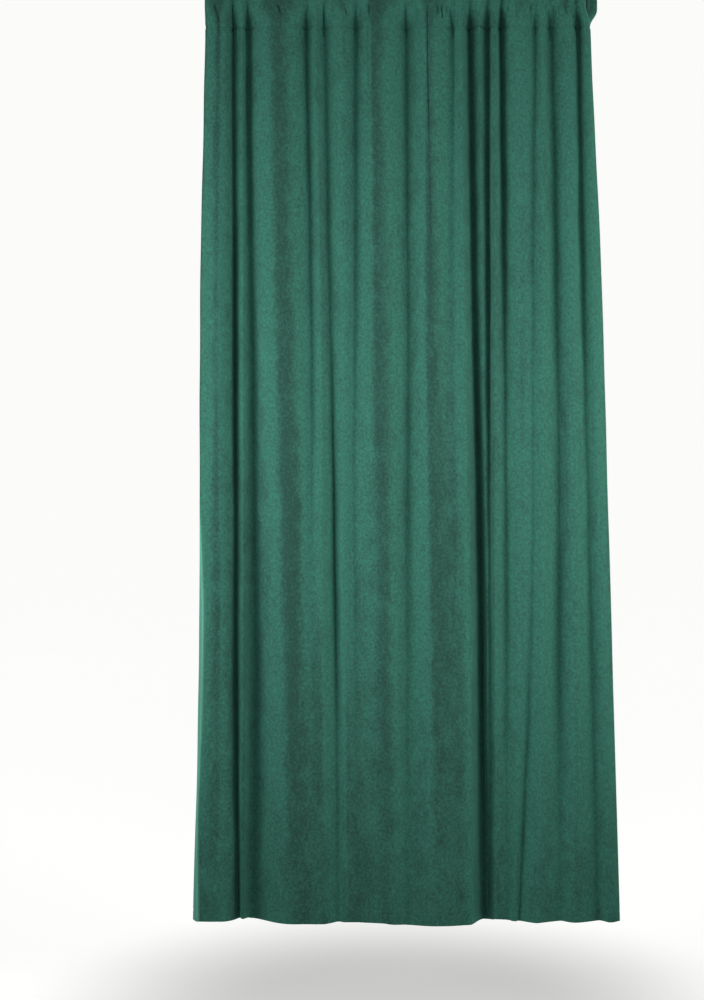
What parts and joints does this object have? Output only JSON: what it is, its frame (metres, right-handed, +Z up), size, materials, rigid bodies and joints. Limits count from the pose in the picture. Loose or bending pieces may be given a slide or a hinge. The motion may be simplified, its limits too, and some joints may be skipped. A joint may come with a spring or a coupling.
{
  "type": "curtain panel",
  "caption": "Gathered velvet curtain panel that hangs in uneven vertical folds from an open rod pocket along its top edge.",
  "frame": {"origin": "middle of the top edge, on the vertical plane through the axis of the rod that the pocket takes", "axes": "+Z up, +X along the top edge to the right as seen from the room, -Y towards the room"},
  "size_m": [1.1265, 0.0677, 2.4605],
  "materials": {
    "velvet": "dark green short-pile velvet with a soft sheen on the folds"
  },
  "bodies": {
    "root": {"curtain_panel": "velvet", "rod_pocket": "velvet"}
  },
  "joints": []
}
